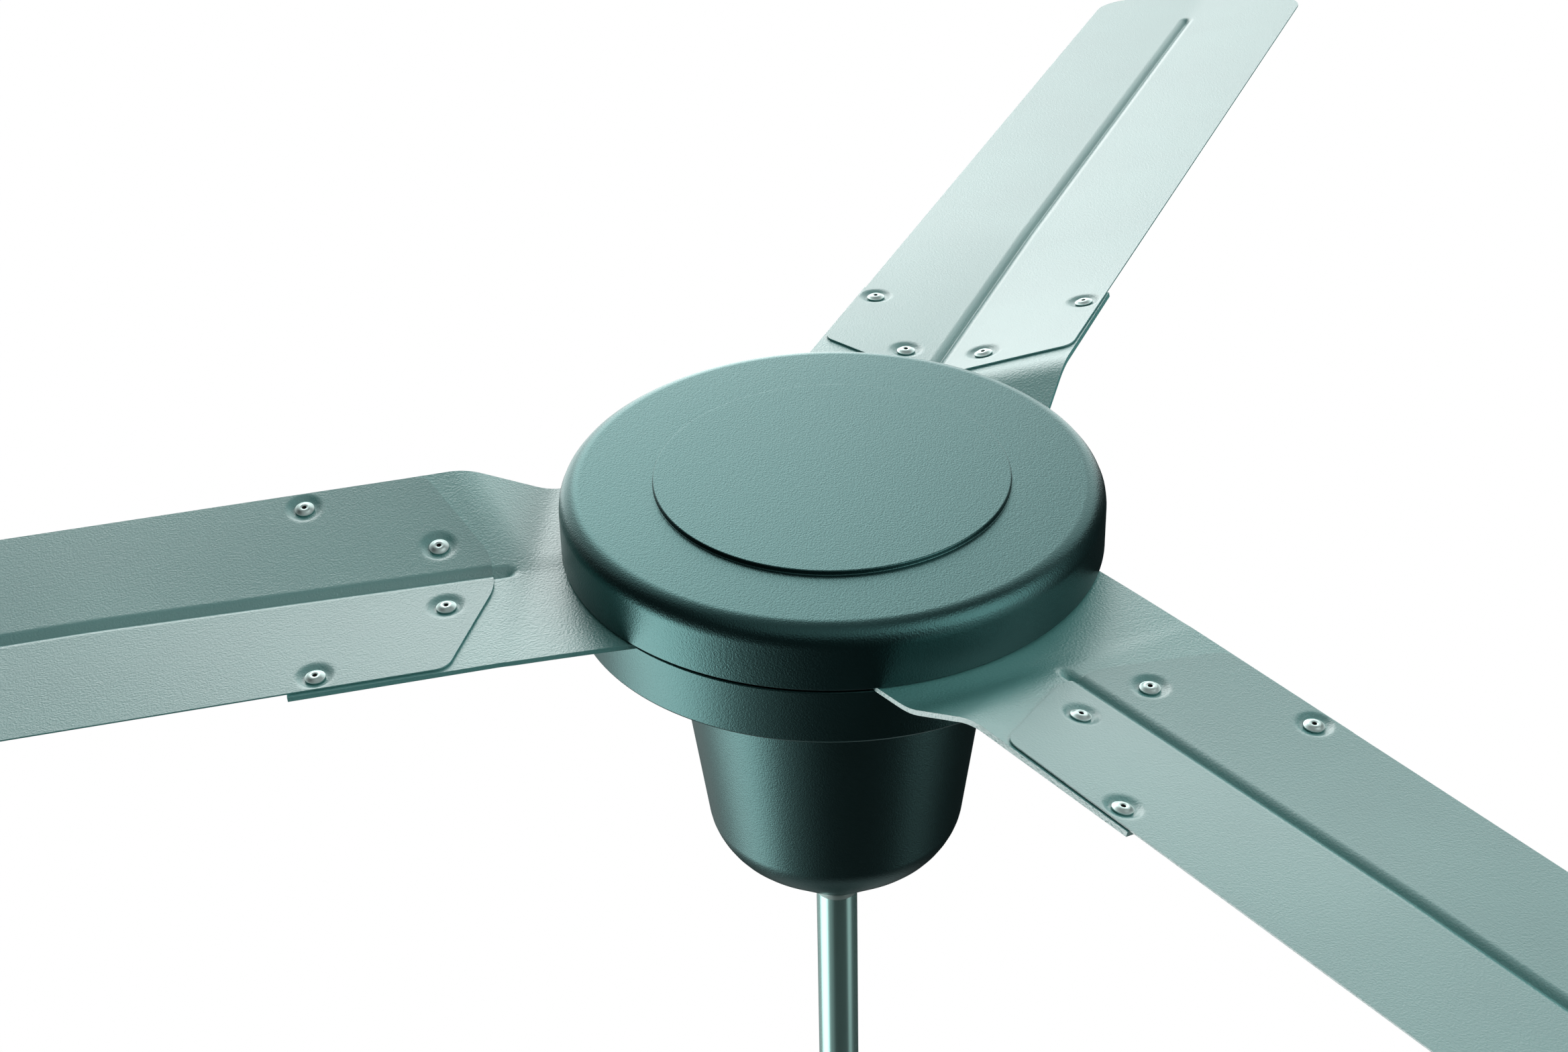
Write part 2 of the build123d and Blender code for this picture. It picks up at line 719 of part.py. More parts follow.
def panel_normal(x, across):
    """Unit normal of the panel, pointing down to the lower face's side."""
    here = panel_point(x, across)
    out = panel_point(x + 1, across)
    crease = panel_point(x, 0)
    normal = (out - here).cross(crease - here).normalized()
    return normal if normal.Z < 0 else -normal


def space_above(stations, lift):
    """All that lies above the creased lower face, raised by lift."""
    reach = blade_width * 0.7
    roof = seam_z + sheet_space_height
    wires = []
    for x in stations:
        trail = panel_point(x, reach)
        lead = panel_point(x, -reach)
        crease = crease_point(x)
        corners = [(x, trail.Y, trail.Z + lift), (x, crease.Y, crease.Z + lift)]
        corners += [(x, lead.Y, lead.Z + lift), (x, lead.Y, roof), (x, trail.Y, roof)]
        wires.append(Wire.make_polygon([Vector(*c) for c in corners], close=True))
    return Solid.make_loft(wires, ruled=True)


def groove_tool(start, end, lift):
    """Round-nosed rod along the crease that presses the stiffening groove."""
    radius = (groove_width ** 2 / 4 + groove_depth ** 2) / (2 * groove_depth)
    sink = groove_depth - radius
    knots = [start, end]
    if start < camber_station < end:
        knots = [start, camber_station, end]
    points = [crease_point(x, sink) for x in knots]
    tool = None
    for a, b in zip(points[:-1], points[1:]):
        run = b - a
        rod = Solid.make_cylinder(radius + lift, run.length, Plane(origin=a, z_dir=run))
        tool = rod if tool is None else tool + rod
    for p in points:
        tool = tool + Pos(p.X, p.Y, p.Z) * Sphere(radius + lift)
    return tool


def rivet_places():
    """Distance out and distance across the crease of each rivet."""
    spots = []
    for side in (-1, 1):
        spots.append((inner_rivet_radius, side * inner_rivet_offset))
        spots.append((outer_rivet_radius, side * outer_rivet_offset))
    return spots


def dimple_tool(x, across, lift):
    """Ball that presses the round dimple under a rivet."""
    ball = (dimple_radius ** 2 + dimple_depth ** 2) / (2 * dimple_depth)
    normal = panel_normal(x, across)
    centre = panel_point(x, across) + normal * (ball - dimple_depth)
    return Pos(centre.X, centre.Y, centre.Z) * Sphere(ball + lift)


def rivet_plane(x, across):
    """Plane at the floor of the dimple, its Z axis pointing down and out of the face."""
    normal = panel_normal(x, across)
    floor = panel_point(x, across) - normal * dimple_depth
    return Plane(origin=floor, z_dir=normal)


def pressed(space, lift, groove):
    """A space above the sheet with the groove and the dimples pressed into it."""
    shape = space - groove_tool(groove[0], groove[1], lift)
    for x, across in rivet_places():
        shape = shape - dimple_tool(x, across, lift)
    return shape


def rivet_holes():
    hole = Cylinder(rivet_radius + slip_gap, 8 * (arm_thickness + blade_thickness))
    return [rivet_plane(x, across) * hole for x, across in rivet_places()]


def blade_outline():
    """Plan of the blade: pointed root with rounded corners, straight edges, rounded tip."""
    half = blade_width / 2
    back = (half - root_flat_half) * tan(radians(root_chamfer_angle))
    root = blade_root_radius
    points = [
        (root, -root_flat_half), (root + back, -half), (blade_tip_radius, -half),
        (blade_tip_radius, half + blade_tip_flare), (root + back, half), (root, root_flat_half),
    ]
    face = make_face(Polyline(*points, close=True))
    corners = face.vertices().sort_by(Axis.X)
    face = fillet(corners[-2:], tip_corner_radius)
    corners = face.vertices().sort_by(Axis.X)
    shoulders = [v for v in corners if abs(v.X - root - back) < 0.01]
    face = fillet(shoulders, root_corner_radius)
    nose = [v for v in face.vertices() if abs(v.X - root) < 0.01]
    return fillet(nose, root_corner_radius * 2)


def blade():
    stations = [hub_station, camber_station, blade_tip_radius + tip_corner_radius]
    plan = extrude(blade_outline(), 3 * sheet_space_height)
    plan = Pos(0, -blade_sideways, seam_z - sheet_space_height) * plan
    groove = (groove_start_radius, groove_end_radius)
    lower = pressed(plan & space_above(stations, 0.0), 0.0, groove)
    upper = pressed(plan & space_above(stations, blade_thickness), blade_thickness, groove)
    sheet = lower - upper
    for hole in rivet_holes():
        sheet -= hole
    return sheet


def fold_corners():
    """Plan points of the arm's fold: trailing edge inside, crease, trailing edge outside."""
    level = seam_z + arm_hub_face
    slope = (crease_point(root_station + 1).Z - crease_point(root_station).Z)
    crease_x = root_station + (level - crease_point(root_station, arm_stack).Z) / slope
    edge = arm_half_width
    inside = Vector(fold_start_radius, edge - blade_sideways, level)
    centre = Vector(crease_x, -blade_sideways, level)
    outside = panel_point(fold_end_radius, edge) + Vector(0, 0, arm_stack)
    return inside, centre, outside


def fold_wedge(lift):
    """Space between the arm's hub level and its sloping fold."""
    inside, centre, outside = fold_corners()
    along = (centre - inside).normalized()
    outward = Vector(-along.Y, along.X, 0)
    if outward.X < 0:
        outward = -outward
    distance = (Vector(outside.X, outside.Y, inside.Z) - inside).dot(outward)
    slope = (inside.Z - outside.Z) / distance
    run = 2 * (arm_end_radius - fold_start_radius)
    start = inside - along * blade_width / 2
    plane = Plane(origin=start + Vector(0, 0, lift), x_dir=outward, z_dir=along)
    up = plane.to_local_coords(start + Vector(0, 0, lift + 1)).Y
    face = make_face(Polyline((0, 0), (run, 0), (run, -up * run * slope), close=True))
    return extrude(plane * face, 2.5 * blade_width, dir=along)


def arm_space(lift):
    stations = [hub_station, camber_station]
    level = seam_z + arm_hub_face + lift
    hub = Box(4 * arm_end_radius, 3 * blade_width, sheet_space_height)
    hub = Pos(0, 0, level + sheet_space_height / 2) * hub
    return space_above(stations, arm_stack + lift) & (hub + fold_wedge(lift))


def arm_outline():
    """Plan of the arm: straight lips, rounded outer corners, hollow hub end round the bowl."""
    inner = arm_hollow_radius / 2
    face = Pos((arm_end_radius + inner) / 2, 0) * Rectangle(arm_end_radius - inner, 2 * arm_half_width)
    outer = face.vertices().sort_by(Axis.X)[-2:]
    face = fillet(outer, arm_corner_radius)
    return Pos(0, -blade_sideways) * face - Circle(arm_hollow_radius)


def arm_screw_places():
    return places_round([-arm_screw_angle, 0, arm_screw_angle])


def blade_arm():
    plan = Pos(0, 0, seam_z - sheet_space_height) * extrude(arm_outline(), 2 * sheet_space_height)
    groove = (fold_corners()[1].X + groove_width / 4, arm_end_radius + 2 * groove_width)
    lower = pressed(plan & arm_space(0.0), arm_stack, groove)
    upper = pressed(plan & arm_space(arm_thickness), arm_stack + arm_thickness, groove)
    sheet = lower - upper
    for hole in rivet_holes():
        sheet -= hole
    low = seam_z + arm_hub_face
    hole_radius = arm_screw_radius + bolt_gap
    return drilled(sheet, arm_screw_places(), hole_radius, low - 1, low + arm_thickness + 1)


def blade_rivets():
    """Blind rivets: domed head in the dimple, shank, and the formed tail above the arm."""
    seat = rivet_seat_height
    dome_top = seat + rivet_head_height
    grip = arm_stack + arm_thickness + dimple_depth / 4
    bulge = rivet_tail_radius - rivet_radius
    profile = [
        (rivet_bore_radius, dome_top), (rivet_head_radius * 0.55, dome_top - rivet_head_height * 0.15),
        (rivet_head_radius, seat + rivet_head_height * 0.2), (rivet_head_radius, seat),
        (rivet_radius, seat), (rivet_radius, -grip), (rivet_tail_radius, -grip - bulge),
        (rivet_tail_radius - bulge / 4, -grip - rivet_tail_height),
        (0, -grip - rivet_tail_height - bulge / 4), (0, seat), (rivet_bore_radius, seat),
    ]
    one = turned(profile)
    return [rivet_plane(x, across) * one for x, across in rivet_places()]


def arm_screws():
    """Socket screws up through the arm into the flange."""
    low = seam_z + arm_hub_face
    head_low = low - arm_screw_head_height
    one = disc(arm_screw_radius - press_gap, low, flange_z + flange_thickness + arm_screw_radius)
    head = disc(arm_screw_head_radius, head_low, low)
    rim = head.edges().filter_by(GeomType.CIRCLE).sort_by(Axis.Z)[0]
    one += fillet(rim, arm_screw_head_height * 0.45)
    socket = extrude(RegularPolygon(arm_screw_socket_radius, 6), arm_screw_head_height * 0.6)
    one -= Pos(0, 0, head_low) * socket
    return [spot * one for spot in arm_screw_places()]


def turned_set(shapes):
    """The same solids once for each blade."""
    return [turn * shape for turn in blade_turns() for shape in shapes]


def build():
    parts = {}
    parts["ceiling_bracket"] = ceiling_bracket()
    bolt, nut, pin = hanger_bolt_parts()
    parts["hanger_bolt"] = bolt
    parts["hanger_nut"] = nut
    parts["hanger_split_pin"] = pin
    parts["supply_terminal"] = supply_terminal()
    parts["hanger_eye"] = hanger_eye()
    parts["rubber_bush"] = rubber_bush()
    parts["down_rod"] = down_rod()
    parts["rod_coupler"] = rod_coupler()
    bolts, nuts, pins = coupler_fasteners()
    parts["coupler_bolts"] = bolts
    parts["coupler_nuts"] = nuts
    parts["coupler_split_pins"] = pins
    parts["lower_canopy"] = lower_canopy()
    parts["upper_canopy"] = upper_canopy()
    lower, upper = collar_places()
    parts["lower_canopy_collar"] = lower * canopy_collar()
    parts["upper_canopy_collar"] = upper * canopy_collar()
    parts["collar_screws"] = [lower * collar_screw(), upper * collar_screw()]
    parts["component_plate"] = component_plate()
    parts["run_capacitor"] = capacitor()
    parts["capacitor_nut"] = capacitor_nut()
    parts["motor_terminals"] = motor_terminals()
    parts["motor_shaft"] = motor_shaft()
    parts["stator_stack"] = stator_stack()
    parts["stator_coils"] = stator_coils()
    parts["shaft_circlip"] = shaft_circlip()
    for name, bottom in (("upper", upper_bearing_z - bearing_width), ("lower", lower_bearing_z)):
        inner, outer, balls, cage = bearing_rings(bottom)
        parts[name + "_bearing_inner_ring"] = inner
        parts[name + "_bearing_outer_ring"] = outer
        parts[name + "_bearing_balls"] = balls
        parts[name + "_bearing_cage"] = cage
    parts["rotor_core"] = rotor_core()
    parts["rotor_end_rings"] = rotor_end_rings()
    parts["motor_shell_upper"] = motor_shell_upper()
    parts["motor_shell_lower"] = motor_shell_lower()
    parts["shell_screws"] = shell_screws()
    parts["bottom_cover"] = bottom_cover()
    one_arm = blade_arm()
    one_blade = blade()
    for number, turn in enumerate(blade_turns(), start=1):
        parts["blade_arm_" + str(number)] = turn * one_arm
        parts["blade_" + str(number)] = turn * one_blade
    parts["blade_rivets"] = turned_set(blade_rivets())
    parts["arm_screws"] = turned_set(arm_screws())
    return parts


def write(parts):
    os.makedirs("parts", exist_ok=True)
    for name, shape in parts.items():
        if isinstance(shape, list):
            shape = Compound(children=[Part(s.wrapped) if not isinstance(s, Part) else s for s in shape])
        export_step(shape, os.path.join("parts", name + ".step"))


if __name__ == "__main__":
    write(build())
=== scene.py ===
import json
import math

import bmesh
import bpy
from mathutils import Matrix, Vector


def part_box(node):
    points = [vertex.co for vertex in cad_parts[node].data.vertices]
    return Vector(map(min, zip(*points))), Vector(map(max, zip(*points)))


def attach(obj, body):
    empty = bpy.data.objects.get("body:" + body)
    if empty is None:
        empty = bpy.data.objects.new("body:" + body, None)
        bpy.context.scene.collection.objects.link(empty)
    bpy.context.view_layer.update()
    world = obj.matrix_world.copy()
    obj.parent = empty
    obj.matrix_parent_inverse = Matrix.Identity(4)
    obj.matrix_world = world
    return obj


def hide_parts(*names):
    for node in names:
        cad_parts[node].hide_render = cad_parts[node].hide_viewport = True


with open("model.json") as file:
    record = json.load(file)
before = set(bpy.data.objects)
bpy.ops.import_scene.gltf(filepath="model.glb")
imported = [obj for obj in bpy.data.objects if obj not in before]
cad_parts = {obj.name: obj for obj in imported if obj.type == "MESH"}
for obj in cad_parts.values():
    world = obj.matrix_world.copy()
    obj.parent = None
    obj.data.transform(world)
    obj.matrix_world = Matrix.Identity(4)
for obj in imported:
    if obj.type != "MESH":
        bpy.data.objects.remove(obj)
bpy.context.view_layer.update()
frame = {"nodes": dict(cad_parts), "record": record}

# Sizes of the fan, in metres. Heights are in the frame, where the ceiling is at zero.
mm = 0.001
seam = -610 * mm

cover_radius = 130 * mm
cover_depth = 31.4 * mm
cover_wall = 2.8 * mm
cover_edge_radius = 10 * mm
cover_inner_radius = 7 * mm
cover_rim_round = 0.5 * mm
medallion_radius = 85 * mm
medallion_rise = 2.3 * mm
medallion_round = 0.7 * mm
medallion_foot = 0.5 * mm

shell_rim_radius = 127.6 * mm
shell_top_radius = 125.6 * mm
shell_height = 32.5 * mm
shell_wall = 2.5 * mm
shell_top_round = 1.8 * mm
shell_rim_round = 0.8 * mm
seam_gap = 2.8 * mm
notch_clearance = 1 * mm
notch_inner_radius = 115 * mm
notch_outer_radius = 135 * mm
bowl_radius = 92 * mm
bowl_wall = 3 * mm
bowl_rim_height = 9 * mm
boss_radius = 24 * mm
boss_height = 18 * mm
boss_cap = 3 * mm
bearing_radius = 20 * mm
shaft_hole = 11.5 * mm

cup_mouth_radius = 81 * mm
cup_shoulder_radius = 63 * mm
cup_neck_radius = 20 * mm
cup_shoulder_height = 136 * mm
cup_height = 174 * mm
cup_wall = 2.5 * mm
cup_inner_drop = 1.6 * mm
cup_shoulder_fillet = 30 * mm
cup_rim_round = 0.8 * mm
cup_neck_round = 3 * mm
cup_motor_gap = 2.5 * mm
ceiling_gap = 6 * mm
collar_hole = 12.6 * mm
rod_wall = 2 * mm

blade_count = 3
first_blade_angle = math.radians(49.8)
blade_tip = 800 * mm
blade_half = 68.9 * mm
blade_flare = 4.5 * mm
blade_thickness = 0.8 * mm
blade_sideways = 2.7 * mm
pitch_slope = math.tan(math.radians(7.81))
rise_slope = math.tan(math.radians(3.44))
root_station = 150 * mm
root_depth = 8.7 * mm
hub_station = 60 * mm
camber_hub = 10.9 * mm
camber_station = 350 * mm
camber_tip = 2.5 * mm
blade_root = 163.5 * mm
root_flat = 12 * mm
root_softness = 7 * mm
root_slope = math.tan(math.radians(24.8))
root_corner = 9 * mm
tip_corner = 28 * mm
groove_width = 9.8 * mm
groove_depth = 2.8 * mm
groove_bottom = 0.4 * mm
groove_end = 752 * mm
crease_round = 4 * mm
arm_thickness = 2.5 * mm
arm_gap = 0.4 * mm
arm_half = 70.4 * mm
arm_end = 262 * mm
arm_level = 0.7 * mm
arm_bowl_gap = 5 * mm
arm_groove_lead = 7 * mm
fold_start = 130 * mm
fold_end = 170 * mm
rivet_spots = [(187 * mm, 21.5 * mm), (249 * mm, 59.5 * mm)]
dimple_radius = 9.3 * mm
dimple_floor = 5.2 * mm
dimple_depth = 1.5 * mm
groove_growth = 0.3
dimple_growth = 0.1
fold_softness = 2.6 * mm
bend_softness = 4 * mm
edge_share = 0.48


# Shading helpers

def linear(code):
    """A six-figure sRGB hex colour as the linear numbers that sockets take."""
    channels = [int(code[i:i + 2], 16) / 255 for i in (0, 2, 4)]
    flat = [c / 12.92 if c <= 0.04045 else ((c + 0.055) / 1.055) ** 2.4 for c in channels]
    return (*flat, 1.0)


def add(material, kind, inputs=None, **settings):
    """Add a node with its settings. inputs maps a socket name to a value or to another node's socket."""
    tree = material.node_tree
    made = tree.nodes.new(kind)
    for key, value in settings.items():
        setattr(made, key, value)
    for key, value in (inputs or {}).items():
        if isinstance(value, bpy.types.NodeSocket):
            tree.links.new(value, made.inputs[key])
        else:
            made.inputs[key].default_value = value
    return made


def finish_named(name):
    """A new material with all its nodes cleared, no output yet."""
    material = bpy.data.materials.new(name)
    material.use_nodes = True
    material.node_tree.nodes.clear()
    return material


def surface(material, shader):
    """Join a shader to the output and give the finished material back."""
    add(material, "ShaderNodeOutputMaterial", {"Surface": shader.outputs[0]})
    return material


def place(material):
    """Object coordinates: the piece's own metres."""
    return add(material, "ShaderNodeTexCoord").outputs["Object"]


def grain(material, where, size, depth):
    """Relief of rounded grains of a real size and depth in metres, as a normal."""
    noise = add(material, "ShaderNodeTexNoise", {"Vector": where, "Scale": 1 / size})
    bump = add(material, "ShaderNodeBump",
               {"Height": noise.outputs["Fac"], "Distance": depth, "Strength": 1.0})
    return bump.outputs["Normal"]


def tones(material, where, size, dark, light):
    """Soft patches between two near colours."""
    noise = add(material, "ShaderNodeTexNoise", {"Vector": where, "Scale": 1 / size, "Detail": 3.0})
    ramp = add(material, "ShaderNodeValToRGB", {"Fac": noise.outputs["Fac"]})
    ramp.color_ramp.elements[0].position = 0.3
    ramp.color_ramp.elements[0].color = linear(dark)
    ramp.color_ramp.elements[1].position = 0.7
    ramp.color_ramp.elements[1].color = linear(light)
    return ramp.outputs["Color"]


# Finishes, each named for what the real one is, and a near-black painted shade for the rivets' bores

def enamelled_sheet(name, dark, light, grain_size, grain_depth, rough, coat_index):
    """Oven-baked enamel on pressed steel: a teal ground under a satin coat, white where lamps meet it."""
    material = finish_named(name)
    where = place(material)
    colour = tones(material, where, size=60 * mm, dark=dark, light=light)
    relief = grain(material, where, grain_size, grain_depth)
    shader = add(material, "ShaderNodeBsdfPrincipled", {
        "Base Color": colour, "Roughness": rough, "IOR": coat_index, "Normal": relief})
    return surface(material, shader)


def moulded_plastic(name, dark, light, grain_size, grain_depth, rough):
    """ABS from a spark-eroded mould: near-black green, its sheen spread by a fine leathery grain."""
    material = finish_named(name)
    where = place(material)
    colour = tones(material, where, size=25 * mm, dark=dark, light=light)
    relief = grain(material, where, grain_size, grain_depth)
    shader = add(material, "ShaderNodeBsdfPrincipled", {
        "Base Color": colour, "Roughness": rough, "IOR": 2.07, "Specular Tint": linear("aafffd"),
        "Normal": relief})
    return surface(material, shader)


def bright_steel(name, colour, rough, metallic=1.0):
    """Plated or turned steel: a clear reflection broken by fine lines along the piece."""
    material = finish_named(name)
    where = place(material)
    drawn = add(material, "ShaderNodeMapping", {"Vector": where, "Scale": (1.0, 1.0, 0.06)})
    relief = grain(material, drawn.outputs["Vector"], size=0.4 * mm, depth=0.004 * mm)
    shader = add(material, "ShaderNodeBsdfPrincipled", {
        "Base Color": linear(colour), "Metallic": metallic, "Roughness": rough, "Normal": relief})
    return surface(material, shader)


def plain_matt(name, colour, rough, grain_size=0.8 * mm, grain_depth=0.02 * mm, metallic=0.0):
    """Moulded, cast or rubber stock with a faint grain."""
    material = finish_named(name)
    where = place(material)
    relief = grain(material, where, grain_size, grain_depth)
    shader = add(material, "ShaderNodeBsdfPrincipled", {
        "Base Color": linear(colour), "Metallic": metallic, "Roughness": rough, "Normal": relief})
    return surface(material, shader)


def stacked_laminations(name):
    """Electrical steel sheets, stacked: dark lines one above the other."""
    material = finish_named(name)
    where = place(material)
    wave = add(material, "ShaderNodeTexWave", {"Vector": where, "Scale": 1 / (20 * mm)},
               bands_direction="Z")
    ramp = add(material, "ShaderNodeValToRGB", {"Fac": wave.outputs["Fac"]})
    ramp.color_ramp.elements[0].color = linear("3a3d40")
    ramp.color_ramp.elements[1].color = linear("8d9296")
    shader = add(material, "ShaderNodeBsdfPrincipled", {
        "Base Color": ramp.outputs["Color"], "Metallic": 0.8, "Roughness": 0.45})
    return surface(material, shader)


blade_enamel = enamelled_sheet(
    "baked_enamel_smooth", "4a9693", "529e9a",
    grain_size=1.0 * mm, grain_depth=0.16 * mm, rough=0.39, coat_index=2.7)
arm_enamel = enamelled_sheet(
    "baked_enamel_hammered", "62aaa6", "6bb2ae",
    grain_size=1.2 * mm, grain_depth=0.24 * mm, rough=0.38, coat_index=2.6)
cover_plastic = moulded_plastic(
    "abs_leather_grain", "030e10", "051416", grain_size=0.85 * mm, grain_depth=0.15 * mm, rough=0.34)
shell_plastic = moulded_plastic(
    "abs_fine_grain", "030e10", "051416", grain_size=0.8 * mm, grain_depth=0.12 * mm, rough=0.35)
rod_steel = bright_steel("polished_steel_tube", "a2cdc7", rough=0.24, metallic=0.7)
collar_steel = bright_steel("turned_steel", "c6dad6", rough=0.48)
rivet_metal = bright_steel("drawn_aluminium", "d2e6e3", rough=0.42)
zinc_steel = bright_steel("zinc_plated_steel", "b4bab9", rough=0.32)
# Near-black painted shade in the rivets' shallow mandrel hollows, standing in for the shadow in the real
# deep holes.
bore_shade = plain_matt("painted_bore_shade", "06090a", rough=0.9)
bush_rubber = plain_matt("black_rubber", "141616", rough=0.75)
terminal_plastic = plain_matt("polyamide_terminal", "d9d6cb", rough=0.5)
capacitor_plastic = plain_matt("polypropylene_can", "d6d6cd", rough=0.4)
casting_metal = plain_matt("die_cast_aluminium", "a5abab", rough=0.5, metallic=0.9)
copper_winding = plain_matt("varnished_copper", "7d3f1c", rough=0.4,
                            grain_size=0.6 * mm, grain_depth=0.15 * mm, metallic=0.7)
spring_steel = plain_matt("spring_steel", "3a3c3e", rough=0.35, metallic=0.9)
bearing_steel = bright_steel("ground_bearing_steel", "c9cdce", rough=0.12)
core_steel = stacked_laminations("electrical_steel_stack")


# Modelling helpers

def leave_selection():
    bpy.ops.object.select_all(action="DESELECT")


def choose(piece):
    leave_selection()
    piece.select_set(True)
    bpy.context.view_layer.objects.active = piece


def apply_modifier(piece, kind, **settings):
    choose(piece)
    modifier = piece.modifiers.new(kind.lower(), kind)
    for key, value in settings.items():
        setattr(modifier, key, value)
    bpy.ops.object.modifier_apply(modifier=modifier.name)


def smooth(piece, angle=35):
    """Shade smooth, with edges sharper than the angle in degrees kept crisp."""
    choose(piece)
    bpy.ops.object.shade_smooth_by_angle(angle=math.radians(angle))
    apply_modifier(piece, "WEIGHTED_NORMAL", keep_sharp=True)


def turned(name, corners, hollow=False, steps=128, rounds=()):
    """A piece turned about the hub axis. corners are (radius, height) in order round its section.

    rounds are (radius, height, size) of the corner rings that are rounded."""
    leave_selection()
    radius, height = corners[0]
    bpy.ops.mesh.primitive_circle_add(vertices=steps, radius=radius, enter_editmode=True)
    piece = bpy.context.object
    piece.name = name
    bpy.ops.mesh.select_all(action="SELECT")
    bpy.ops.transform.translate(value=(0, 0, height))
    path = corners[1:] + corners[:1] if hollow else corners[1:]
    for next_radius, next_height in path:
        move = (0, 0, next_height - height)
        bpy.ops.mesh.extrude_edges_move(TRANSFORM_OT_translate={"value": move})
        grow = next_radius / radius
        bpy.ops.transform.resize(value=(grow, grow, 1), center_override=(0, 0, next_height))
        radius, height = next_radius, next_height
    bpy.ops.mesh.select_all(action="SELECT")
    if hollow:
        bpy.ops.mesh.remove_doubles(threshold=1e-6)
    else:
        bpy.ops.mesh.fill_holes(sides=0)
    bpy.ops.mesh.select_all(action="SELECT")
    bpy.ops.mesh.normals_make_consistent(inside=False)
    bpy.ops.object.mode_set(mode="OBJECT")
    for ring_radius, ring_height, size in rounds:
        round_ring(piece, ring_radius, ring_height, size)
    return piece


def round_ring(piece, radius, height, size):
    """Bevel the ring of edges at a radius and height. size is how far it cuts back along each face."""
    near = 0.02 * mm
    choose(piece)
    bpy.ops.object.mode_set(mode="EDIT")
    bpy.ops.mesh.select_mode(type="EDGE")
    bpy.ops.mesh.select_all(action="DESELECT")
    mesh = bmesh.from_edit_mesh(piece.data)
    for edge in mesh.edges:
        on_ring = [abs(v.co.xy.length - radius) < near and abs(v.co.z - height) < near
                   for v in edge.verts]
        edge.select_set(all(on_ring))
    bmesh.update_edit_mesh(piece.data)
    bpy.ops.mesh.bevel(offset=size, segments=6, affect="EDGES")
    bpy.ops.object.mode_set(mode="OBJECT")


def joined(name, pieces):
    """One object made of several."""
    choose(pieces[0])
    for piece in pieces[1:]:
        piece.select_set(True)
    bpy.ops.object.join()
    made = bpy.context.object
    made.name = name
    return made


def copy_turned(piece, name, matrix):
    """A copy with its own mesh, moved by a matrix and with its place in its mesh."""
    made = piece.copy()
    made.data = piece.data.copy()
    made.name = name
    bpy.context.collection.objects.link(made)
    made.data.transform(matrix)
    return made


def clad(piece, material):
    """Give a piece one finish all over."""
    piece.data.materials.clear()
    piece.data.materials.append(material)


def hand_over(piece, body, slot_name, *nodes):
    """Say which body a piece rides on and which nodes it stands for. slot_name, the finish it has, is not
    used.
    """
    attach(piece, body)
    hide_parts(*nodes)


def blade_turns():
    """Matrices that turn a piece on the X axis to where each blade stands."""
    step = 2 * math.pi / blade_count
    return [Matrix.Rotation(first_blade_angle + k * step, 4, "Z") for k in range(blade_count)]


# Blade and arm: one pressed surface serves both

def soft_high(a, b, radius):
    """The higher of two heights, with the corner between them rounded."""
    share = min(1.0, max(0.0, 0.5 + 0.5 * (a - b) / radius))
    return b + (a - b) * share + radius * share * (1 - share)


def soft_low(a, b, radius):
    """The lower of two heights, with the corner between them rounded."""
    return -soft_high(-a, -b, radius)


def camber(x):
    """How far the crease stands off the sheet's two edges, at a distance from the axis."""
    share = (x - hub_station) / (camber_station - hub_station)
    return max(camber_tip, camber_hub + share * (camber_tip - camber_hub))


def crease_height(x):
    """Height of the crease, which rises slowly towards the tip."""
    return seam - root_depth + rise_slope * (x - root_station) + camber(x)


def panel_height(x, off_crease):
    """Lower face of the plain V-shaped sheet."""
    bend = math.hypot(off_crease, crease_round)
    return crease_height(x) - off_crease * pitch_slope - camber(x) * bend / blade_half


def groove_lift(x, off_crease, start, end, skin):
    """Depth of the pressed groove, steepest at its bottom.

    skin is how far the sheet lies off the blade's face. A sheet behind is pressed a little deeper."""
    past = max(0.0, x - end, start - x)
    away = math.hypot(off_crease, past, groove_bottom) - groove_bottom
    share = max(0.0, 1 - away / (groove_width / 2))
    return (groove_depth + groove_growth * skin) * share * share


def dimple_lift(x, off_crease, skin):
    """Depth of the pressed rivet dishes: a flat floor and a smooth rim."""
    lift = 0.0
    depth = dimple_depth + dimple_growth * skin
    for out, side in rivet_spots:
        for sign in (-1, 1):
            away = math.hypot(x - out, off_crease - sign * side)
            share = min(1.0, max(0.0, (dimple_radius - away) / (dimple_radius - dimple_floor)))
            lift = max(lift, depth * share * share * (3 - 2 * share))
    return lift


def even(start, end, step):
    """Evenly spaced values from start to end, about a step apart."""
    count = max(1, round(abs(end - start) / step))
    return [start + (end - start) * k / count for k in range(count + 1)]


def stations(*stretches):
    """Join stretches of (start, end, step) into one rising list."""
    values = []
    for start, end, step in stretches:
        values += even(start, end, step)[:-1]
    return values + [stretches[-1][1]]


def across_stations(half):
    """Places across a sheet: close together over the crease, and ever closer towards the two edges."""
    edge, middle = 6 * mm, 7 * mm
    coarse, fine = 1.4 * mm, 0.6 * mm
    rim_steps, crowding = 9, 2.2
    rim = [half - edge * (1 - k / rim_steps) ** crowding for k in range(rim_steps + 1)]
    far_rim = [-v for v in reversed(rim)]
    inside = stations((-half + edge, -middle, coarse), (-middle, middle, fine),
                      (middle, half - edge, coarse))
    return far_rim[:-1] + inside[:-1] + rim


